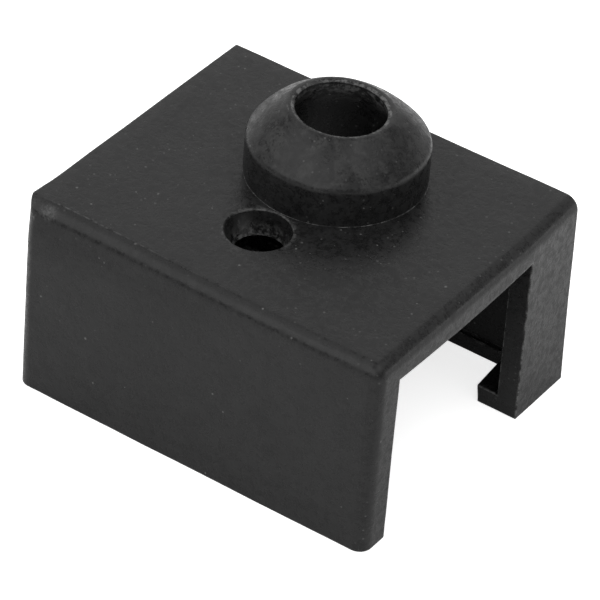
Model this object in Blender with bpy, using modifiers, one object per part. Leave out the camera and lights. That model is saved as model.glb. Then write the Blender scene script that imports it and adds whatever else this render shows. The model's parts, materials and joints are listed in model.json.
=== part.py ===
"""Silicone sock for the heater block of a 3-D printer's hotend, moulded in one piece.

The sock is a thin-walled box that is open underneath. It stands here with its nozzle end up:
the block goes in from below, lips along the rim snap over the block, and the nozzle looks out
of the dome on the top plate. The right-hand side is open for the heater and thermistor wires,
except for a leg beside the back wall.

Units are metres, +Z is up, +X runs along the front face and +Y from the front face to the back
one. The origin is the centre of the body's footprint, on the plane of the open rim.
"""

import math

import bmesh
import bpy
from mathutils import Vector

OBJECT_NAME = "silicone_heater_sock"
NODE_NAME = "silicone_sock"

# Body
BODY_LENGTH = 0.0230
BODY_WIDTH = 0.0195
BODY_HEIGHT = 0.0122
FILLET_RADIUS = 0.0008
FILLET_SEGMENTS = 5

# Walls round the pocket that holds the block
TOP_PLATE = 0.00155
FRONT_WALL = 0.0020
BACK_WALL = 0.0010
SIDE_WALL = 0.0013

# Retaining lips along the open rim
LIP_HEIGHT = 0.0011
SIDE_LIP = 0.00125
BACK_LIP = 0.0003

# Leg that is left between the wire outlet and the back face
LEG_WIDTH = 0.00475

# Nozzle dome: an upright band, then a rounded shoulder and a cone up to the rim
DOME_X = -0.00025
DOME_Y = 0.0033
DOME_RADIUS = 0.00505
DOME_HEIGHT = 0.0043
DOME_CORNER_HEIGHT = 0.00235
SHOULDER_RADIUS = 0.00065
SHOULDER_SEGMENTS = 5
RIM_RADIUS = 0.00295
DOME_STEPS = 64

# Inside the dome: a recess for the nozzle's hexagon, a cone, and the hole for its tip
HEX_RECESS_RADIUS = 0.0037
HEX_RECESS_DEPTH = 0.0034
RECESS_CONE_HEIGHT = 0.0020
NOZZLE_HOLE_RADIUS = 0.00254

# Tapered hole that gives access to the block's clamp screw
SCREW_HOLE_X = -0.0004
SCREW_HOLE_Y = -0.0037
SCREW_HOLE_TOP_RADIUS = 0.00193
SCREW_HOLE_BOTTOM_RADIUS = 0.00150
SCREW_HOLE_STEPS = 40

# Working values
OVERLAP = 0.0005
CLEARANCE = 0.0010
MERGE_DISTANCE = 0.000001
SMOOTH_ANGLE = math.radians(30)

# Matt black silicone
SILICONE_COLOUR = (0.030, 0.030, 0.031, 1.0)
SILICONE_ROUGHNESS = 0.6

# Planes that several features share
LEFT = -BODY_LENGTH / 2
RIGHT = BODY_LENGTH / 2
FRONT = -BODY_WIDTH / 2
BACK = BODY_WIDTH / 2
POCKET_CEILING = BODY_HEIGHT - TOP_PLATE
POCKET_FRONT = FRONT + FRONT_WALL
POCKET_BACK = BACK - BACK_WALL


def clear_scene():
    for old in list(bpy.data.objects):
        bpy.data.objects.remove(old, do_unlink=True)


def new_collection(name):
    collection = bpy.data.collections.new(name)
    bpy.context.scene.collection.children.link(collection)
    return collection


def add_object(name, mesh, collection):
    obj = bpy.data.objects.new(name, mesh)
    collection.objects.link(obj)
    return obj


def box_mesh(name, low, high):
    """A box between two corners, made from a unit cube."""
    low, high = Vector(low), Vector(high)
    mesh = bpy.data.meshes.new(name)
    bm = bmesh.new()
    bmesh.ops.create_cube(bm, size=1.0)
    bmesh.ops.scale(bm, vec=high - low, verts=bm.verts)
    bmesh.ops.translate(bm, vec=(low + high) / 2, verts=bm.verts)
    bm.to_mesh(mesh)
    bm.free()
    return mesh


def turned_object(name, profile, steps, collection):
    """A solid turned about Z. The profile holds (radius, z) points from its top to its bottom."""
    mesh = bpy.data.meshes.new(name)
    bm = bmesh.new()
    points = [bm.verts.new((radius, 0.0, z)) for radius, z in profile]
    for upper, lower in zip(points, points[1:]):
        bm.edges.new((upper, lower))
    bm.to_mesh(mesh)
    bm.free()
    obj = add_object(name, mesh, collection)
    screw = obj.modifiers.new("turn", "SCREW")
    screw.steps = steps
    screw.render_steps = steps
    screw.use_merge_vertices = True
    screw.merge_threshold = MERGE_DISTANCE
    return obj


def make_tool(obj):
    """Marks an object as one that only shapes the sock, and isn't a piece of it."""
    obj.hide_render = True
    obj.display_type = "WIRE"
    return obj


def box_tool(name, low, high, collection):
    return make_tool(add_object(name, box_mesh(name, low, high), collection))


def add_boolean(obj, tool, operation):
    boolean = obj.modifiers.new(f"{operation.lower()} {tool.name}", "BOOLEAN")
    boolean.operation = operation
    boolean.solver = "EXACT"
    boolean.object = tool


def is_filleted(middle):
    """The two upright front edges and the front and right edges of the top are rounded."""
    on_front = math.isclose(middle.y, FRONT, abs_tol=MERGE_DISTANCE)
    on_right = math.isclose(middle.x, RIGHT, abs_tol=MERGE_DISTANCE)
    on_top = math.isclose(middle.z, BODY_HEIGHT, abs_tol=MERGE_DISTANCE)
    upright = math.isclose(middle.z, BODY_HEIGHT / 2, abs_tol=MERGE_DISTANCE)
    return (on_front and upright) or (on_top and (on_front or on_right))


def body_block(collection):
    """The outer block with its four rounded edges."""
    low = (LEFT, FRONT, 0.0)
    high = (RIGHT, BACK, BODY_HEIGHT)
    obj = add_object(NODE_NAME, box_mesh(NODE_NAME, low, high), collection)
    bm = bmesh.new()
    bm.from_mesh(obj.data)
    weight = bm.edges.layers.float.new("bevel_weight_edge")
    for edge in bm.edges:
        middle = (edge.verts[0].co + edge.verts[1].co) / 2
        edge[weight] = 1.0 if is_filleted(middle) else 0.0
    bm.to_mesh(obj.data)
    bm.free()
    bevel = obj.modifiers.new("fillets", "BEVEL")
    bevel.limit_method = "WEIGHT"
    bevel.width = FILLET_RADIUS
    bevel.segments = FILLET_SEGMENTS
    return obj


def shoulder_points():
    """The rounded corner between the dome's upright band and its cone, from the cone down."""
    run = DOME_RADIUS - RIM_RADIUS
    rise = DOME_HEIGHT - DOME_CORNER_HEIGHT
    cone_normal = math.atan2(run, rise)
    setback = SHOULDER_RADIUS * math.tan(cone_normal / 2)
    centre_r = DOME_RADIUS - SHOULDER_RADIUS
    centre_z = DOME_CORNER_HEIGHT - setback
    angles = [cone_normal * (1 - i / SHOULDER_SEGMENTS) for i in range(SHOULDER_SEGMENTS + 1)]
    return [
        (
            centre_r + SHOULDER_RADIUS * math.cos(angle),
            centre_z + SHOULDER_RADIUS * math.sin(angle),
        )
        for angle in angles
    ]


def nozzle_dome(tools):
    """The dome as a solid, sunk a little way into the top plate."""
    profile = [(0.0, DOME_HEIGHT), (RIM_RADIUS, DOME_HEIGHT)]
    profile += shoulder_points()
    profile += [(DOME_RADIUS, -OVERLAP), (0.0, -OVERLAP)]
    dome = turned_object("dome", profile, DOME_STEPS, tools)
    dome.location = (DOME_X, DOME_Y, BODY_HEIGHT)
    return make_tool(dome)


def block_pocket(tools):
    """The room for the block, between the top plate and the lips."""
    low = (LEFT + SIDE_WALL, POCKET_FRONT, LIP_HEIGHT)
    high = (RIGHT - SIDE_WALL, POCKET_BACK, POCKET_CEILING)
    return box_tool("pocket", low, high, tools)


def pocket_mouth(tools):
    """The narrower way in between the lips. The front wall has no lip."""
    side_inset = SIDE_WALL + SIDE_LIP
    low = (LEFT + side_inset, POCKET_FRONT, -CLEARANCE)
    high = (RIGHT - side_inset, POCKET_BACK - BACK_LIP, LIP_HEIGHT + OVERLAP)
    return box_tool("mouth", low, high, tools)


def wire_outlet(tools):
    """The open side that the wires leave by, from the rim up to the top plate."""
    low = (RIGHT - SIDE_WALL - SIDE_LIP - OVERLAP, POCKET_FRONT, -CLEARANCE)
    high = (RIGHT + CLEARANCE, BACK - LEG_WIDTH, POCKET_CEILING)
    return box_tool("outlet", low, high, tools)


def nozzle_way(tools):
    """The way through the plate and the dome, which takes the nozzle's hexagon and tip."""
    recess_top = HEX_RECESS_DEPTH - TOP_PLATE
    cone_top = recess_top + RECESS_CONE_HEIGHT
    hole_top = DOME_HEIGHT + CLEARANCE
    recess_bottom = -TOP_PLATE - OVERLAP
    profile = [
        (0.0, hole_top),
        (NOZZLE_HOLE_RADIUS, hole_top),
        (NOZZLE_HOLE_RADIUS, cone_top),
        (HEX_RECESS_RADIUS, recess_top),
        (HEX_RECESS_RADIUS, recess_bottom),
        (0.0, recess_bottom),
    ]
    way = turned_object("nozzle_way", profile, DOME_STEPS, tools)
    way.location = (DOME_X, DOME_Y, BODY_HEIGHT)
    return make_tool(way)


def screw_hole(tools):
    """The tapered hole, with its taper carried on past both faces of the plate."""
    slope = (SCREW_HOLE_TOP_RADIUS - SCREW_HOLE_BOTTOM_RADIUS) / TOP_PLATE
    past = slope * OVERLAP
    profile = [
        (0.0, OVERLAP),
        (SCREW_HOLE_TOP_RADIUS + past, OVERLAP),
        (SCREW_HOLE_BOTTOM_RADIUS - past, -TOP_PLATE - OVERLAP),
        (0.0, -TOP_PLATE - OVERLAP),
    ]
    hole = turned_object("screw_hole", profile, SCREW_HOLE_STEPS, tools)
    hole.location = (SCREW_HOLE_X, SCREW_HOLE_Y, BODY_HEIGHT)
    return make_tool(hole)


def bake_modifiers(obj):
    """Turns the modifiers into mesh, so that smooth and sharp edges can be told apart."""
    evaluated = obj.evaluated_get(bpy.context.evaluated_depsgraph_get())
    mesh = bpy.data.meshes.new_from_object(evaluated)
    mesh.name = obj.name
    obj.modifiers.clear()
    obj.data = mesh
    mesh.shade_smooth()
    mesh.set_sharp_from_angle(angle=SMOOTH_ANGLE)


def silicone():
    material = bpy.data.materials.new("black_silicone")
    material.use_nodes = True
    shader = material.node_tree.nodes["Principled BSDF"]
    shader.inputs["Base Color"].default_value = SILICONE_COLOUR
    shader.inputs["Roughness"].default_value = SILICONE_ROUGHNESS
    shader.inputs["Metallic"].default_value = 0.0
    return material


def build_sock():
    parts = new_collection(OBJECT_NAME)
    tools = new_collection("cutters")
    sock = body_block(parts)
    add_boolean(sock, nozzle_dome(tools), "UNION")
    for make_cutter in (block_pocket, pocket_mouth, wire_outlet, nozzle_way, screw_hole):
        add_boolean(sock, make_cutter(tools), "DIFFERENCE")
    bake_modifiers(sock)
    sock.data.materials.clear()
    sock.data.materials.append(silicone())
    return sock


clear_scene()
build_sock()
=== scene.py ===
"""The looks of a moulded black silicone sock for a 3-D printer's heater block.

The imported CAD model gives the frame. One detailed moulding takes the place of its plain solid: it
has the same walls, lips, holes and dome, with softened edges, a flash line round the dome's foot,
and the slight sag, lean and skew of an empty rubber part. Units are metres and +Z is up.
"""

import json
import math

import bmesh
import bpy
from mathutils import Matrix, Vector, noise


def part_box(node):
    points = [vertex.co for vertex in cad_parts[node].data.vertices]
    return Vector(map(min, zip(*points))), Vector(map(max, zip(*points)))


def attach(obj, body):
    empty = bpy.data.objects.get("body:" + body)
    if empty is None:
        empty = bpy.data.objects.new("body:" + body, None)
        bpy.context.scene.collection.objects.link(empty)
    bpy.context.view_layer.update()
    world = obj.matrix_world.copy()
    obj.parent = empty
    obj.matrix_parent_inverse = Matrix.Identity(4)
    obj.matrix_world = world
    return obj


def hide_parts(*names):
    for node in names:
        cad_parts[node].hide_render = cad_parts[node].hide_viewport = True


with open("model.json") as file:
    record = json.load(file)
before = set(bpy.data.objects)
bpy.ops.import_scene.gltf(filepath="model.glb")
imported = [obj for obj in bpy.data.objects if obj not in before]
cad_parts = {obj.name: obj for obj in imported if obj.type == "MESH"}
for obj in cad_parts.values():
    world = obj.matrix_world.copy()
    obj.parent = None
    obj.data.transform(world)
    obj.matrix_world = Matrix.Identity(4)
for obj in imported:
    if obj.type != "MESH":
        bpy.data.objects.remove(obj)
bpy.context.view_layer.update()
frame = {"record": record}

NODE = "silicone_sock"
MM = 0.001

# ---------------------------------------------------------------- planes that the CAD model gives

LOW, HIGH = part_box(NODE)
MOUNTS = {mount["name"]: mount for mount in frame["record"]["mounts"]}


def plane(mount, axis):
    """Where a flat face of the CAD model lies along an axis."""
    return MOUNTS[mount]["pos_m"][axis]


PLATE_TOP = plane("dome_foot", 2)
CEILING = plane("block_seat", 2)
POCKET_FRONT = plane("pocket_front", 1)
POCKET_BACK = plane("pocket_back", 1)
POCKET_LEFT = plane("pocket_left", 0)
POCKET_RIGHT = plane("pocket_leg", 0)
LIP_TOP = plane("leg_lip", 2)
PLATE = PLATE_TOP - CEILING

# ---------------------------------------------------------------- sizes that the planes don't give

SIDE_LIP = 1.25 * MM
BACK_LIP = 0.3 * MM
BACK_LIP_TOP = 0.95 * MM
LEG_WIDTH = 4.75 * MM

BODY_FILLET = 0.79 * MM
FILLET_SEGMENTS = 12
EDGE_SOFTNESS = 0.06 * MM
EDGE_SEGMENTS = 3
FLAT_ANGLE = math.radians(1)
SHARP_ANGLE = math.radians(40)
CREASE_ANGLE = math.radians(38)

NOZZLE_CENTRE = Vector((-0.25, 3.3)) * MM
DOME_RADIUS = 5.05 * MM
DOME_CORNER = 2.32 * MM
DOME_HEIGHT = 4.18 * MM
DOME_TILT = Vector((-0.038, -0.026))
SHOULDER_RADIUS = 0.65 * MM
CONE_END = 2.955 * MM
CONE_BULGE = 0.10 * MM
CONE_STEPS = 8
RIM_ROUNDING = 0.50 * MM
RIM_CREST = 2.74 * MM
RIM_DISH = 0.06 * MM
RIM_MARGIN = 0.02 * MM
NOZZLE_HOLE = 2.52 * MM
HOLE_ROUNDING = 0.05 * MM
HEX_RECESS = 3.7 * MM
HEX_RECESS_TOP = 1.85 * MM
HEX_RECESS_LEAD = 0.12 * MM
RECESS_CONE = 2.0 * MM
DOME_STEPS = 180
ROUND_STEPS = 6
SMALL_ROUND_STEPS = 4
FLASH_WIDTH = 0.055 * MM
FLASH_HEIGHT = 0.05 * MM
FLASH_LEAST = 0.25
FLASH_DRIFT = 0.6 * MM

SCREW_CENTRE = Vector((-0.4, -3.7)) * MM
SCREW_TOP = 1.82 * MM
SCREW_BOTTOM = 1.42 * MM
SCREW_LEAN = 0.2 * MM
SCREW_RIM = 0.12 * MM
SCREW_FOOT = 0.06 * MM
SCREW_STEPS = 96

FRONT_SET_BACK = Vector((-0.10, 0.30)) * MM
SET_BACK_START = 5.0 * MM
SET_BACK_SIDE = 3.0 * MM
SET_BACK_WIDTH = 4 * BODY_FILLET
SET_BACK_DEPTH = 2.6 * MM

LEG_FRONT = HIGH.y - LEG_WIDTH
LEAN_START = 5.5 * MM
LEAN_TOP = 0.22 * MM
LEG_SPLAY = 0.12 * MM
LIP_TAPER = 0.08
LIP_LEAD = 0.12 * MM
OUTLET_SAG = 0.2 * MM
SAG_REACH = 2.0 * MM
RIPPLE_WIDTH = 4.0 * MM
RIPPLE_HEIGHT = 0.02 * MM
RIPPLE_SEED = 7
FINE_RIPPLE_WIDTH = RIPPLE_WIDTH / 4
FINE_RIPPLE_SHARE = 0.35

GRID = 0.8 * MM
GRID_SHIFT = 0.137
EDGE_SUPPORT = 0.17 * MM
FACES = (
    (LOW.x, POCKET_LEFT, POCKET_LEFT + SIDE_LIP, POCKET_RIGHT - SIDE_LIP, POCKET_RIGHT, HIGH.x),
    (LOW.y, POCKET_FRONT, LEG_FRONT, POCKET_BACK - BACK_LIP, POCKET_BACK, HIGH.y),
    (LOW.z, BACK_LIP_TOP, LIP_TOP, CEILING, PLATE_TOP),
)
CLEAR = 1.0 * MM
OVERLAP = 0.5 * MM
MERGE = 0.0005 * MM
SLIVER = 0.002 * MM

# ---------------------------------------------------------------- the silicone's looks

DARK = (0.0058, 0.0058, 0.0060, 1)
LIGHT = (0.0145, 0.0145, 0.0146, 1)
# The haze colour is a pale bloom on the dome, and also a painted highlight along the top's left and
# back edges.
HAZE_AND_EDGE_HIGHLIGHT = (0.040, 0.040, 0.0395, 1)
# The rubbed colour is wear on the edges, and also painted highlights where edges catch the light.
RUBBED_AND_HIGHLIT = (0.15, 0.15, 0.149, 1)
DUST = (0.15, 0.15, 0.148, 1)
SILICONE_IOR = 1.34
GLOSSIEST = 0.18
ROUGHEST = 0.47
BUMP_HEIGHT = 0.020 * MM

# The material works in millimetres, except for its bump.
CLOUDS_PER_MM = 0.22
PATCHES_PER_MM = 0.75
RUBS_AND_HIGHLIGHTS_PER_MM = 2.2
MOTTLES_PER_MM = 2.4
GRAINS_PER_MM = 7.0
DUST_PER_MM = 1.3
DUST_RADIUS = 0.10
DUST_SHARE = 0.3
FINE_DUST_PER_MM = 3.0
FINE_DUST_RADIUS = 0.085
FINE_DUST_SHARE = 0.6

CLOUD_TONE = 0.2
MOTTLE_TONE = 0.45
GRAIN_TONE = 0.35
HAZE_AND_EDGE_HIGHLIGHT_COVER = 0.5
RUBBED_AND_HIGHLIT_COVER = 0.7
DUST_COVER = 0.7
FINE_DUST_COVER = 0.6
MOTTLE_ROUGH = 0.6
GRAIN_ROUGH = 0.4
HAZE_AND_EDGE_HIGHLIGHT_ROUGH = 0.08
DUST_ROUGH = 0.3
MOTTLE_BUMP = 1.0
GRAIN_BUMP = 0.5
DUST_BUMP = 0.2

TOP = PLATE_TOP / MM
HAZY_FROM = TOP + 1.9
HAZY_ABOVE = TOP + 2.7
HAZE_BELOW = 0.15
# A painted highlight along the top's left and back edges, where a rounded edge would catch the
# light.
EDGE_HIGHLIGHT = 0.6
EDGE_HIGHLIGHT_WIDTH = 1.6
EDGE_HIGHLIGHT_FROM = TOP - 2.2
EDGE_HIGHLIGHT_ABOVE = TOP - 0.2
# Convex edges get rubbed wear and painted highlights, as if they caught the light.
WEAR_AND_HIGHLIGHT_ANGLE = math.radians(20)
SCUFF = Vector((-10.1, -9.45, 12.05))
SCUFF_SIZE = 0.75

# ---------------------------------------------------------------- mesh helpers


def new_object(name, mesh):
    obj = bpy.data.objects.new(name, mesh)
    bpy.context.scene.collection.objects.link(obj)
    return obj


def box_object(name, low, high):
    low, high = Vector(low), Vector(high)
    mesh = bpy.data.meshes.new(name)
    bm = bmesh.new()
    bmesh.ops.create_cube(bm, size=1.0)
    bmesh.ops.scale(bm, vec=high - low, verts=bm.verts)
    bmesh.ops.translate(bm, vec=(low + high) / 2, verts=bm.verts)
    bm.to_mesh(mesh)
    bm.free()
    return new_object(name, mesh)


def turned_object(name, profile, steps, centre, base):
    """A solid turned about Z from (radius, height) points that run from its top to its bottom."""
    mesh = bpy.data.meshes.new(name)
    bm = bmesh.new()
    points = [bm.verts.new((radius, 0.0, height)) for radius, height in profile]
    edges = [bm.edges.new(pair) for pair in zip(points, points[1:])]
    bmesh.ops.spin(
        bm,
        geom=points + edges,
        cent=(0, 0, 0),
        axis=(0, 0, 1),
        angle=2 * math.pi,
        steps=steps,
        use_merge=True,
    )
    bmesh.ops.remove_doubles(bm, verts=bm.verts, dist=MERGE)
    bmesh.ops.recalc_face_normals(bm, faces=bm.faces)
    bmesh.ops.translate(bm, vec=(centre.x, centre.y, base), verts=bm.verts)
    bm.to_mesh(mesh)
    bm.free()
    return new_object(name, mesh)


def bake(obj):
    """Applies an object's modifiers to its mesh."""
    evaluated = obj.evaluated_get(bpy.context.evaluated_depsgraph_get())
    mesh = bpy.data.meshes.new_from_object(evaluated)
    obj.modifiers.clear()
    obj.data = mesh


def combine(obj, tool, operation):
    """Cuts a tool from an object, or joins it on, and removes the tool."""
    boolean = obj.modifiers.new(operation, "BOOLEAN")
    boolean.operation = operation
    boolean.solver = "EXACT"
    boolean.object = tool
    bake(obj)
    bpy.data.objects.remove(tool)


def arc(centre_r, centre_z, radius, start, end, steps):
    """Points on an arc in the profile plane, between two angles in degrees."""
    angles = [math.radians(start + (end - start) * i / steps) for i in range(steps + 1)]
    return [(centre_r + radius * math.cos(a), centre_z + radius * math.sin(a)) for a in angles]


def edge_middle(edge):
    return (edge.verts[0].co + edge.verts[1].co) / 2


# ---------------------------------------------------------------- the moulding


def has_big_fillet(edge):
    middle = edge_middle(edge)
    on_front = abs(middle.y - LOW.y) < MERGE
    on_right = abs(middle.x - HIGH.x) < MERGE
    on_top = abs(middle.z - PLATE_TOP) < MERGE
    upright = abs(middle.z - PLATE_TOP / 2) < MERGE
    return (on_front and upright) or (on_top and (on_front or on_right))


def outer_block():
    obj = box_object(NODE + "_moulding", LOW, (HIGH.x, HIGH.y, PLATE_TOP))
    bm = bmesh.new()
    bm.from_mesh(obj.data)
    bmesh.ops.bevel(
        bm,
        geom=[edge for edge in bm.edges if has_big_fillet(edge)],
        offset=BODY_FILLET,
        segments=FILLET_SEGMENTS,
        profile=0.5,
        affect="EDGES",
    )
    bm.to_mesh(obj.data)
    bm.free()
    return obj


def hollow_out(obj):
    """The pocket for the block, the mouth between the lips, and the wire outlet."""
    pocket = box_object(
        "pocket",
        (POCKET_LEFT, POCKET_FRONT, LIP_TOP),
        (POCKET_RIGHT, POCKET_BACK, CEILING),
    )
    mouth = box_object(
        "mouth",
        (POCKET_LEFT + SIDE_LIP, POCKET_FRONT, LOW.z - CLEAR),
        (POCKET_RIGHT - SIDE_LIP, POCKET_BACK - BACK_LIP, LIP_TOP + OVERLAP),
    )
    outlet = box_object(
        "outlet",
        (POCKET_RIGHT - SIDE_LIP - OVERLAP, POCKET_FRONT, LOW.z - CLEAR),
        (HIGH.x + CLEAR, HIGH.y - LEG_WIDTH, CEILING),
    )
    back_step = box_object(
        "back_step",
        (POCKET_LEFT + SIDE_LIP, POCKET_BACK - 2 * BACK_LIP, BACK_LIP_TOP),
        (POCKET_RIGHT - SIDE_LIP, POCKET_BACK, LIP_TOP + OVERLAP),
    )
    for tool in (pocket, mouth, outlet, back_step):
        combine(obj, tool, "DIFFERENCE")


def soften_edges(obj):
    """A small radius on every edge that is still sharp."""
    bm = bmesh.new()
    bm.from_mesh(obj.data)
    bmesh.ops.dissolve_limit(bm, angle_limit=FLAT_ANGLE, verts=bm.verts, edges=bm.edges)
    sharp = [e for e in bm.edges if e.is_manifold and e.calc_face_angle() > SHARP_ANGLE]
    bmesh.ops.bevel(
        bm,
        geom=sharp,
        offset=EDGE_SOFTNESS,
        segments=EDGE_SEGMENTS,
        profile=0.5,
        affect="EDGES",
    )
    bm.to_mesh(obj.data)
    bm.free()


def cut_places(axis):
    """Where the faces are split along an axis: an even grid, and close beside each edge."""
    count = round((HIGH[axis] - LOW[axis]) / GRID)
    step = (HIGH[axis] - LOW[axis]) / count
    places = [LOW[axis] + (i + GRID_SHIFT) * step for i in range(1, count)]
    for face in FACES[axis]:
        places += [face - EDGE_SUPPORT, face + EDGE_SUPPORT]
    return [place for place in places if LOW[axis] < place < HIGH[axis]]


def cut_grid(obj):
    """Splits big faces so that they can bend, and keeps wear and painted highlights by the edges.
    """
    bm = bmesh.new()
    bm.from_mesh(obj.data)
    for axis in range(3):
        normal = [float(i == axis) for i in range(3)]
        for place in cut_places(axis):
            point = [place * value for value in normal]
            geom = bm.verts[:] + bm.edges[:] + bm.faces[:]
            bmesh.ops.bisect_plane(bm, geom=geom, dist=MERGE, plane_co=point, plane_no=normal)
    bm.to_mesh(obj.data)
    bm.free()


def uneven(point, size):
    """A steady random value between 0 and 1 that drifts over a distance of about one size."""
    return min(max(0.5 + 0.7 * noise.noise(Vector(point) / size), 0.0), 1.0)


def bulged(start, end, height, steps):
    """Points between two profile points, on a line that bulges outward by a height."""
    along = Vector(end) - Vector(start)
    out = Vector((-along.y, along.x)).normalized()
    points = []
    for i in range(1, steps):
        t = i / steps
        points.append(tuple(Vector(start) + along * t + out * height * 4 * t * (1 - t)))
    return points


def vary_flash(obj):
    """Makes the flash line at the dome's foot wider in some places than in others."""
    for vertex in obj.data.vertices:
        out = vertex.co.xy - NOZZLE_CENTRE
        height = vertex.co.z - PLATE_TOP
        if out.length > DOME_RADIUS + MERGE and height < 2 * FLASH_HEIGHT:
            amount = FLASH_LEAST + (1 - FLASH_LEAST) * uneven(vertex.co, FLASH_DRIFT)
            radius = DOME_RADIUS + (out.length - DOME_RADIUS) * amount
            vertex.co.xy = NOZZLE_CENTRE + out.normalized() * radius
            if height > 0:
                vertex.co.z = PLATE_TOP + height * amount


def dome():
    """The dome: an upright band with a thin flash line at its foot, a shoulder, and a cone."""
    slope = math.atan2(DOME_RADIUS - CONE_END, DOME_HEIGHT - DOME_CORNER)
    setback = SHOULDER_RADIUS * math.tan(slope / 2)
    rim_r = CONE_END - RIM_ROUNDING * math.tan((math.pi / 2 - slope) / 2)
    rim_z = DOME_HEIGHT - RIM_ROUNDING
    shoulder_r = DOME_RADIUS - SHOULDER_RADIUS
    shoulder_z = DOME_CORNER - setback
    tilt = math.degrees(slope)
    rim = arc(rim_r, rim_z, RIM_ROUNDING, 90, tilt, ROUND_STEPS)
    shoulder = arc(shoulder_r, shoulder_z, SHOULDER_RADIUS, tilt, 0, ROUND_STEPS)
    cone = bulged(rim[-1], shoulder[0], CONE_BULGE, CONE_STEPS)
    profile = [(0.0, DOME_HEIGHT)] + rim + cone + shoulder
    profile += [
        (DOME_RADIUS, 2.2 * FLASH_HEIGHT),
        (DOME_RADIUS + 0.2 * FLASH_WIDTH, 1.1 * FLASH_HEIGHT),
        (DOME_RADIUS + 0.7 * FLASH_WIDTH, FLASH_HEIGHT),
        (DOME_RADIUS + FLASH_WIDTH, 0.6 * FLASH_HEIGHT),
        (DOME_RADIUS + FLASH_WIDTH, -OVERLAP),
        (0.0, -OVERLAP),
    ]
    obj = turned_object("dome", profile, DOME_STEPS, NOZZLE_CENTRE, PLATE_TOP)
    vary_flash(obj)
    return obj


def nozzle_way():
    """The recess for the nozzle's hexagon and the hole for its tip, with a slightly dished rim."""
    lead = HEX_RECESS_LEAD
    mouth_r = NOZZLE_HOLE + HOLE_ROUNDING
    mouth_z = DOME_HEIGHT - RIM_DISH - HOLE_ROUNDING
    foot_r = HEX_RECESS + 2.5 * lead
    profile = [(0.0, DOME_HEIGHT + CLEAR), (RIM_CREST, DOME_HEIGHT + CLEAR)]
    profile += [(RIM_CREST, DOME_HEIGHT + RIM_MARGIN)]
    profile += arc(mouth_r, mouth_z, HOLE_ROUNDING, 125, 180, SMALL_ROUND_STEPS)
    profile += [(NOZZLE_HOLE, HEX_RECESS_TOP + RECESS_CONE), (HEX_RECESS, HEX_RECESS_TOP)]
    profile += arc(HEX_RECESS + lead, -PLATE + lead, lead, 180, 255, SMALL_ROUND_STEPS)
    profile += [(foot_r, -PLATE - 0.5 * lead), (foot_r, -PLATE - OVERLAP), (0.0, -PLATE - OVERLAP)]
    return turned_object("nozzle_way", profile, DOME_STEPS, NOZZLE_CENTRE, PLATE_TOP)


def screw_way():
    """The tapered hole over the clamp screw, with rounded mouths."""
    rim = SCREW_RIM
    foot = SCREW_FOOT
    rim_r = SCREW_TOP + 3 * rim
    foot_r = SCREW_BOTTOM + 3 * foot
    profile = [(0.0, CLEAR), (rim_r, CLEAR), (rim_r, 0.5 * rim)]
    profile += arc(SCREW_TOP + rim, -rim, rim, 105, 180, ROUND_STEPS)
    profile += arc(SCREW_BOTTOM + foot, -PLATE + foot, foot, 180, 255, SMALL_ROUND_STEPS)
    profile += [(foot_r, -PLATE - 0.5 * foot), (foot_r, -PLATE - OVERLAP), (0.0, -PLATE - OVERLAP)]
    obj = turned_object("screw_way", profile, SCREW_STEPS, SCREW_CENTRE, PLATE_TOP)
    for vertex in obj.data.vertices:
        vertex.co.y += SCREW_LEAN * (PLATE_TOP - vertex.co.z) / PLATE
    return obj


def ramp(value, start, end):
    """A smooth rise from 0 at start to 1 at end."""
    t = min(max((value - start) / (end - start), 0.0), 1.0)
    return t * t * (3 - 2 * t)


def leg_lean(point):
    """The leg's rear edge leans inward at its top, and its foot is splayed a little."""
    along = min(max((point.y - LEG_FRONT) / LEG_WIDTH, 0.0), 1.0)
    across = ramp(point.x, LEAN_START, POCKET_RIGHT - SIDE_LIP)
    height = min(point.z / PLATE_TOP, 1.0)
    splay = LEG_SPLAY * (1 - height) ** 2 * float(point.y > LEG_FRONT - MERGE)
    return (splay - LEAN_TOP * height * along) * across


def lip_slant(point):
    """The leg's lip reaches further in towards the back, and at its upper edge."""
    if point.z > LIP_TOP + MERGE or point.y < LEG_FRONT:
        return 0.0
    reach = ramp(point.x, POCKET_RIGHT, POCKET_RIGHT - 0.5 * SIDE_LIP)
    reach *= float(point.x > POCKET_RIGHT - 1.5 * SIDE_LIP)
    return -(LIP_TAPER * (point.y - LEG_FRONT) + LIP_LEAD * (point.z / LIP_TOP - 0.5)) * reach


def outlet_sag(point):
    """The lower edge of the strip over the wire outlet hangs down a little."""
    middle = (POCKET_FRONT + LEG_FRONT) / 2
    half = (LEG_FRONT - POCKET_FRONT) / 2
    off = min(abs(point.y - middle) / half, 1.0)
    if point.z < CEILING - MERGE:
        return 0.0
    low = 1 - ramp(point.z, CEILING, PLATE_TOP - BODY_FILLET)
    near = ramp(point.x, POCKET_RIGHT - SAG_REACH, POCKET_RIGHT)
    return -OUTLET_SAG * (1 - off**2) * low * near


def front_set_back(point):
    """The front wall's upper edge is drawn in towards its left end, and its corner is skewed."""
    along = ramp(point.x, SET_BACK_START, LOW.x)
    near = 1 - ramp(point.y, LOW.y + BODY_FILLET, LOW.y + SET_BACK_WIDTH)
    high = ramp(point.z, PLATE_TOP - SET_BACK_DEPTH, PLATE_TOP - 0.3 * BODY_FILLET)
    side = ramp(point.x, LOW.x + SET_BACK_SIDE, LOW.x)
    shift = Vector((FRONT_SET_BACK.x * side, FRONT_SET_BACK.y, 0.0))
    return shift * along * near * high


def dome_lean(point):
    """The top of the dome leans a little towards the right and the back."""
    above = point.z - PLATE_TOP - DOME_CORNER
    height = min(max(above / (DOME_HEIGHT - DOME_CORNER), 0.0), 1.0)
    return DOME_TILT.dot(point.xy - NOZZLE_CENTRE) * height


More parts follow.
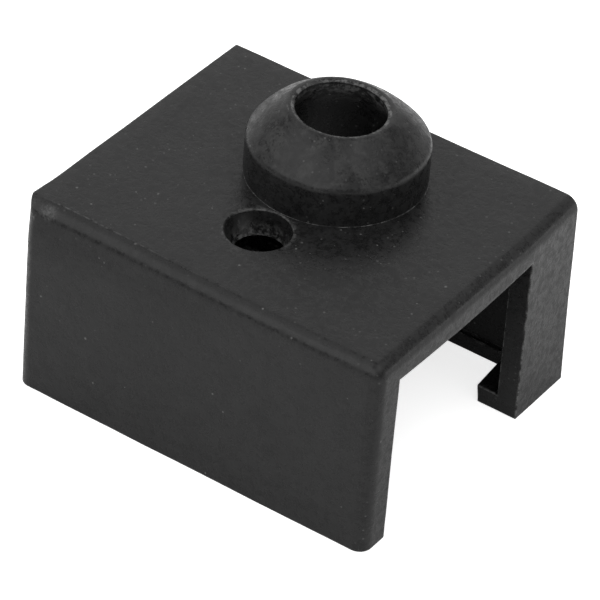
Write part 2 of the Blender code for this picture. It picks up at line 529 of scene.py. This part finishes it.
def ripple(point):
    """The slight unevenness of a moulded rubber surface."""
    wide = noise.noise_vector(point / RIPPLE_WIDTH)
    fine = noise.noise_vector(point / FINE_RIPPLE_WIDTH) * FINE_RIPPLE_SHARE
    return (wide + fine) * RIPPLE_HEIGHT


def relax(obj):
    """Bends the part as empty rubber does. Only its foot and left corner leave the CAD box."""
    noise.seed_set(RIPPLE_SEED)
    for vertex in obj.data.vertices:
        point = vertex.co.copy()
        bend = front_set_back(point)
        bend.x += leg_lean(point) + lip_slant(point)
        bend.z += outlet_sag(point) + dome_lean(point)
        moved = point + bend + ripple(point)
        low = Vector((LOW.x + min(bend.x, 0.0), LOW.y, LOW.z))
        high = Vector((HIGH.x + max(bend.x, 0.0), HIGH.y, HIGH.z))
        for axis in range(3):
            moved[axis] = min(max(moved[axis], low[axis]), high[axis])
        vertex.co = moved
    obj.data.update()


def smooth_normals(obj):
    """Flat faces shade flat, rounded edges shade round, and creases stay crisp."""
    obj.data.shade_smooth()
    obj.data.set_sharp_from_angle(angle=CREASE_ANGLE)
    weighted = obj.modifiers.new("normals", "WEIGHTED_NORMAL")
    weighted.mode = "FACE_AREA"
    weighted.weight = 50
    weighted.keep_sharp = True
    bake(obj)


def clear_slivers(obj):
    """Merges away the hair-thin faces that the Booleans leave, in the same order each run."""
    bm = bmesh.new()
    bm.from_mesh(obj.data)
    for index, vertex in enumerate(sorted(bm.verts, key=lambda vertex: vertex.co[:])):
        vertex.index = index
    bm.verts.sort()
    bmesh.ops.remove_doubles(bm, verts=bm.verts, dist=SLIVER)
    bmesh.ops.dissolve_degenerate(bm, dist=SLIVER / 2, edges=bm.edges)
    bm.to_mesh(obj.data)
    bm.free()


def mark_edges(obj):
    """Stores how convex the surface is at each vertex, for the wear and painted highlights along
    its edges.
    """
    bm = bmesh.new()
    bm.from_mesh(obj.data)
    amount = [0.0] * len(bm.verts)
    for edge in bm.edges:
        turn = edge.calc_face_angle_signed(0.0)
        if turn > 0:
            for vertex in edge.verts:
                amount[vertex.index] = max(amount[vertex.index], turn / WEAR_AND_HIGHLIGHT_ANGLE)
    bm.free()
    attribute = obj.data.attributes.new("wear", "FLOAT", "POINT")
    attribute.data.foreach_set("value", [min(value, 1.0) for value in amount])


def moulding():
    obj = outer_block()
    hollow_out(obj)
    soften_edges(obj)
    cut_grid(obj)
    combine(obj, screw_way(), "DIFFERENCE")
    combine(obj, dome(), "UNION")
    combine(obj, nozzle_way(), "DIFFERENCE")
    clear_slivers(obj)
    relax(obj)
    smooth_normals(obj)
    mark_edges(obj)
    return obj


# ---------------------------------------------------------------- material


class Nodes:
    """Short names for the few kinds of node that the materials use."""

    def __init__(self, material):
        self.tree = material.node_tree
        self.shader = self.tree.nodes["Principled BSDF"]

    def add(self, kind, **settings):
        node = self.tree.nodes.new(kind)
        for name, value in settings.items():
            setattr(node, name, value)
        return node

    def join(self, source, target):
        self.tree.links.new(source, target)

    def math(self, operation, *values, clamp=False):
        node = self.add("ShaderNodeMath", operation=operation, use_clamp=clamp)
        for socket, value in zip(node.inputs, values):
            if isinstance(value, (int, float)):
                socket.default_value = value
            else:
                self.join(value, socket)
        return node.outputs["Value"]

    def weighted(self, *pairs, clamp=False):
        """The sum of some values, each times its weight."""
        total, *rest = [self.math("MULTIPLY", value, weight) for value, weight in pairs]
        for value in rest:
            total = self.math("ADD", total, value, clamp=clamp)
        return total

    def distance(self, vector, place):
        node = self.add("ShaderNodeVectorMath", operation="DISTANCE")
        self.join(vector, node.inputs[0])
        node.inputs[1].default_value = place
        return node.outputs["Value"]

    def object_place(self, per_metre=1.0):
        """The place on the object, in metres or another unit, as a vector and as X, Y and Z."""
        scale = self.add("ShaderNodeVectorMath", operation="SCALE")
        self.join(self.add("ShaderNodeTexCoord").outputs["Object"], scale.inputs[0])
        scale.inputs["Scale"].default_value = per_metre
        split = self.add("ShaderNodeSeparateXYZ")
        self.join(scale.outputs["Vector"], split.inputs["Vector"])
        return scale.outputs["Vector"], [split.outputs[axis] for axis in "XYZ"]

    def rescale(self, value, low, high, new_low=0.0, new_high=1.0):
        node = self.add("ShaderNodeMapRange", interpolation_type="SMOOTHSTEP")
        self.join(value, node.inputs["Value"])
        for name, number in (
            ("From Min", low),
            ("From Max", high),
            ("To Min", new_low),
            ("To Max", new_high),
        ):
            node.inputs[name].default_value = number
        return node.outputs["Result"]

    def noise(self, vector, per_mm, detail=2.0, roughness=0.5, distortion=0.0):
        node = self.add("ShaderNodeTexNoise")
        self.join(vector, node.inputs["Vector"])
        node.inputs["Scale"].default_value = per_mm
        node.inputs["Detail"].default_value = detail
        node.inputs["Roughness"].default_value = roughness
        node.inputs["Distortion"].default_value = distortion
        return node.outputs["Fac"]

    def specks(self, vector, per_mm, radius, share):
        """Dots that are up to a radius (mm) across, in a share of the cells."""
        node = self.add("ShaderNodeTexVoronoi")
        self.join(vector, node.inputs["Vector"])
        node.inputs["Scale"].default_value = per_mm
        split = self.add("ShaderNodeSeparateColor")
        self.join(node.outputs["Color"], split.inputs["Color"])
        size = self.math("MULTIPLY", split.outputs["Red"], radius * per_mm)
        inside = self.math("DIVIDE", node.outputs["Distance"], size)
        dot = self.rescale(inside, 1.0, 0.6)
        chosen = self.math("LESS_THAN", split.outputs["Green"], share)
        return self.math("MULTIPLY", dot, chosen)

    def mix(self, factor, first, second):
        node = self.add("ShaderNodeMix", data_type="RGBA")
        self.join(factor, node.inputs["Factor"])
        for socket, value in ((node.inputs[6], first), (node.inputs[7], second)):
            if isinstance(value, tuple):
                socket.default_value = value
            else:
                self.join(value, socket)
        return node.outputs[2]


def haze_and_edge_highlight_on(nodes, mm, xyz, grain):
    """A pale bloom in patches on the dome, and a painted highlight along the left and back edges of
    the top.
    """
    x, y, z = xyz
    patches = nodes.noise(mm, PATCHES_PER_MM, detail=5.0, roughness=0.6, distortion=0.7)
    on_dome = nodes.rescale(z, HAZY_FROM, HAZY_ABOVE)
    on_dome = nodes.rescale(on_dome, 0.0, 1.0, HAZE_BELOW, 1.0)
    haze_and_edge_highlight = nodes.math("MULTIPLY", nodes.rescale(patches, 0.46, 0.60), on_dome)
    # The painted highlight along the left and back edges of the top, where a rounded edge would
    # catch the light.
    left = nodes.rescale(x, LOW.x / MM + EDGE_HIGHLIGHT_WIDTH, LOW.x / MM)
    back = nodes.rescale(y, HIGH.y / MM - EDGE_HIGHLIGHT_WIDTH, HIGH.y / MM)
    near_top = nodes.rescale(z, EDGE_HIGHLIGHT_FROM, EDGE_HIGHLIGHT_ABOVE)
    outer = nodes.math("MULTIPLY", nodes.math("MAXIMUM", left, back), near_top)
    haze_and_edge_highlight = nodes.math("MAXIMUM", haze_and_edge_highlight, nodes.math("MULTIPLY", outer, EDGE_HIGHLIGHT))
    return nodes.math("MULTIPLY", haze_and_edge_highlight, nodes.rescale(grain, 0.3, 0.65, 0.4, 1.35))


def wear_and_edge_highlight_on(nodes, mm, grain):
    """Rubbed places along the outer edges, partly real wear and partly painted highlights, and a
    scuff on the front's left upper corner.
    """
    rubs_and_highlights = nodes.noise(mm, RUBS_AND_HIGHLIGHTS_PER_MM, detail=4.0, roughness=0.75)
    # Convex edges are paled, partly as rubbed wear and partly as painted highlights.
    edges = nodes.add("ShaderNodeAttribute", attribute_name="wear").outputs["Fac"]
    edges = nodes.rescale(edges, 0.3, 1.0)
    worn_and_highlit = nodes.math("MULTIPLY", edges, nodes.rescale(rubs_and_highlights, 0.44, 0.60))
    scuffed = nodes.rescale(nodes.distance(mm, SCUFF), SCUFF_SIZE, 0.3 * SCUFF_SIZE)
    scuffed = nodes.math("MULTIPLY", scuffed, nodes.rescale(grain, 0.35, 0.65, 0.1, 0.6))
    return nodes.math("MAXIMUM", worn_and_highlit, scuffed)


def dust_on(nodes, mm, cloud):
    """A few grains of dust, and finer ones that have settled in some areas."""
    dust = nodes.specks(mm, DUST_PER_MM, DUST_RADIUS, DUST_SHARE)
    fine = nodes.specks(mm, FINE_DUST_PER_MM, FINE_DUST_RADIUS, FINE_DUST_SHARE)
    fine = nodes.math("MULTIPLY", fine, nodes.rescale(cloud, 0.40, 0.62, 0.25, 1.0))
    return nodes.math("MAXIMUM", dust, nodes.math("MULTIPLY", fine, FINE_DUST_COVER))


def silicone():
    """Matt black silicone: mottled, dusty, with edges paled by rubbing and by painted highlights,
    and a fine grain.
    """
    material = bpy.data.materials.new("black_silicone")
    material.use_nodes = True
    nodes = Nodes(material)
    shader = nodes.shader

    mm, xyz = nodes.object_place(1 / MM)
    cloud = nodes.noise(mm, CLOUDS_PER_MM, detail=3.0, roughness=0.6)
    mottle = nodes.noise(mm, MOTTLES_PER_MM, detail=3.0, roughness=0.6, distortion=0.4)
    grain = nodes.noise(mm, GRAINS_PER_MM, detail=2.0, roughness=0.7)
    haze_and_edge_highlight = haze_and_edge_highlight_on(nodes, mm, xyz, grain)
    worn_and_highlit = wear_and_edge_highlight_on(nodes, mm, grain)
    dusty = dust_on(nodes, mm, cloud)

    tone = nodes.weighted(
        (nodes.rescale(cloud, 0.3, 0.7), CLOUD_TONE),
        (nodes.rescale(mottle, 0.35, 0.65), MOTTLE_TONE),
        (nodes.rescale(grain, 0.32, 0.68), GRAIN_TONE),
    )
    colour = nodes.mix(tone, DARK, LIGHT)
    # The haze film is bloom and a painted edge highlight, the rubbed film is wear and painted edge
    # highlights, the dust is dust.
    for amount, cover, film in (
        (haze_and_edge_highlight, HAZE_AND_EDGE_HIGHLIGHT_COVER, HAZE_AND_EDGE_HIGHLIGHT),
        (worn_and_highlit, RUBBED_AND_HIGHLIT_COVER, RUBBED_AND_HIGHLIT),
        (dusty, DUST_COVER, DUST),
    ):
        colour = nodes.mix(nodes.math("MULTIPLY", amount, cover), colour, film)
    nodes.join(colour, shader.inputs["Base Color"])

    rough = nodes.weighted((mottle, MOTTLE_ROUGH), (grain, GRAIN_ROUGH))
    rough = nodes.rescale(rough, 0.36, 0.64, GLOSSIEST, ROUGHEST)
    rough = nodes.weighted((rough, 1.0), (haze_and_edge_highlight, HAZE_AND_EDGE_HIGHLIGHT_ROUGH), (dusty, DUST_ROUGH), clamp=True)
    nodes.join(rough, shader.inputs["Roughness"])

    bump = nodes.add("ShaderNodeBump")
    bump.inputs["Strength"].default_value = 1.0
    bump.inputs["Distance"].default_value = BUMP_HEIGHT
    height = nodes.weighted((grain, GRAIN_BUMP), (mottle, MOTTLE_BUMP), (dusty, DUST_BUMP))
    nodes.join(height, bump.inputs["Height"])
    nodes.join(bump.outputs["Normal"], shader.inputs["Normal"])

    shader.inputs["IOR"].default_value = SILICONE_IOR
    return material


# ---------------------------------------------------------------- camera, floor and light

CAMERA_AZIMUTH = math.radians(32.0)
CAMERA_ELEVATION = math.radians(37.51)
CAMERA_ROLL = math.radians(4.79)
CAMERA_DISTANCE = 223.84 * MM
CAMERA_TARGET = Vector((0.16, 0.10, 5.53)) * MM
LENS = 247.0
SENSOR = 36.0

FLOOR_HALF = 3.0
FLOOR_TOP = -0.02 * MM
FLOOR_BOTTOM = -20.0 * MM
PALE_FLOOR = (0.9, 0.9, 0.9, 1)
SHADED_FLOOR = (0.1, 0.1, 0.1, 1)
FLOOR_GLOW = 0.7
FLOOR_FILL = 0.05
SHADE_LEFT = LOW.x + 1 * MM
SHADE_RIGHT = -4 * MM
SHADE_END = 1 * MM

WORLD_BRIGHTNESS = 0.45
LIGHT_DISTANCE = 1.0
SOFTBOXES = {
    # azimuth and elevation in degrees, width and height in metres, brightness
    "key": (-15, 45, 1.6, 0.85, 1.55),
    "back": (222, 32, 1.3, 0.6, 0.58),
    "top": (268, 66, 0.55, 0.35, 1.0),
    "side": (112, 66, 0.9, 0.6, 1.35),
    "low": (128, 6, 1.0, 0.25, 1.4),
    "left": (255, 8, 1.0, 0.35, 0.35),
}


def towards(azimuth, elevation):
    """The direction from the object to a place seen at an azimuth and an elevation."""
    return Vector(
        (
            math.sin(azimuth) * math.cos(elevation),
            -math.cos(azimuth) * math.cos(elevation),
            math.sin(elevation),
        )
    )


def make_camera():
    data = bpy.data.cameras.new("camera")
    data.lens = LENS
    data.sensor_width = SENSOR
    data.clip_start = 0.01
    data.clip_end = 20.0
    camera = new_object("camera", data)
    back = towards(CAMERA_AZIMUTH, CAMERA_ELEVATION)
    level = Vector((0, 0, 1)).cross(back).normalized()
    upright = back.cross(level)
    right = math.cos(CAMERA_ROLL) * level + math.sin(CAMERA_ROLL) * upright
    up = back.cross(right)
    turn = Matrix((right, up, back)).transposed().to_4x4()
    camera.matrix_world = Matrix.Translation(CAMERA_TARGET + back * CAMERA_DISTANCE) @ turn
    bpy.context.scene.camera = camera


def make_floor():
    """A white floor that glows a little for the camera, so that its shadows stay pale.

    Deep inside the pocket it has a painted shade and no glow, so that no light shines up through
    the holes.
    """
    low = (-FLOOR_HALF, -FLOOR_HALF, FLOOR_BOTTOM)
    floor = box_object("floor", low, (FLOOR_HALF, FLOOR_HALF, FLOOR_TOP))
    material = bpy.data.materials.new("pale_floor")
    material.use_nodes = True
    nodes = Nodes(material)
    shader = nodes.shader
    shader.inputs["Roughness"].default_value = 0.9
    shader.inputs["Emission Color"].default_value = (1, 1, 1, 1)
    x, y, _ = nodes.object_place()[1]
    outside = nodes.rescale(x, SHADE_LEFT, LOW.x)
    for value, start, end in (
        (x, SHADE_RIGHT, SHADE_END),
        (y, POCKET_FRONT, LOW.y),
        (y, POCKET_BACK, HIGH.y),
    ):
        outside = nodes.math("MAXIMUM", outside, nodes.rescale(value, start, end))
    seen = nodes.add("ShaderNodeLightPath").outputs["Is Camera Ray"]
    # The floor glows as painted light: strongly for the camera, faintly for all other rays.
    glow = nodes.math("ADD", nodes.math("MULTIPLY", seen, FLOOR_GLOW), FLOOR_FILL)
    nodes.join(nodes.math("MULTIPLY", outside, glow), shader.inputs["Emission Strength"])
    # Deep inside the pocket the floor's colour is a painted shade.
    nodes.join(nodes.mix(outside, SHADED_FLOOR, PALE_FLOOR), shader.inputs["Base Color"])
    floor.data.materials.append(material)


def softbox(name, azimuth, elevation, width, height, brightness):
    """A plain softbox, whose brightness is in the same unit as the white of the world."""
    data = bpy.data.lights.new(name, "AREA")
    data.shape = "RECTANGLE"
    data.size = width
    data.size_y = height
    data.energy = brightness * math.pi * width * height
    light = new_object(name, data)
    out = towards(math.radians(azimuth), math.radians(elevation))
    light.location = out * LIGHT_DISTANCE
    light.rotation_mode = "QUATERNION"
    light.rotation_quaternion = out.to_track_quat("Z", "Y")


def make_light():
    world = bpy.data.worlds.new("studio")
    world.use_nodes = True
    background = world.node_tree.nodes["Background"]
    background.inputs["Color"].default_value = (1, 1, 1, 1)
    background.inputs["Strength"].default_value = WORLD_BRIGHTNESS
    bpy.context.scene.world = world
    for name, settings in SOFTBOXES.items():
        softbox(name, *settings)


# ---------------------------------------------------------------- the scene

make_camera()
sock = moulding()
sock.data.materials.clear()
sock.data.materials.append(silicone())
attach(sock, "root")
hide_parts(NODE)
make_floor()
make_light()
bpy.context.scene.view_settings.view_transform = "Standard"
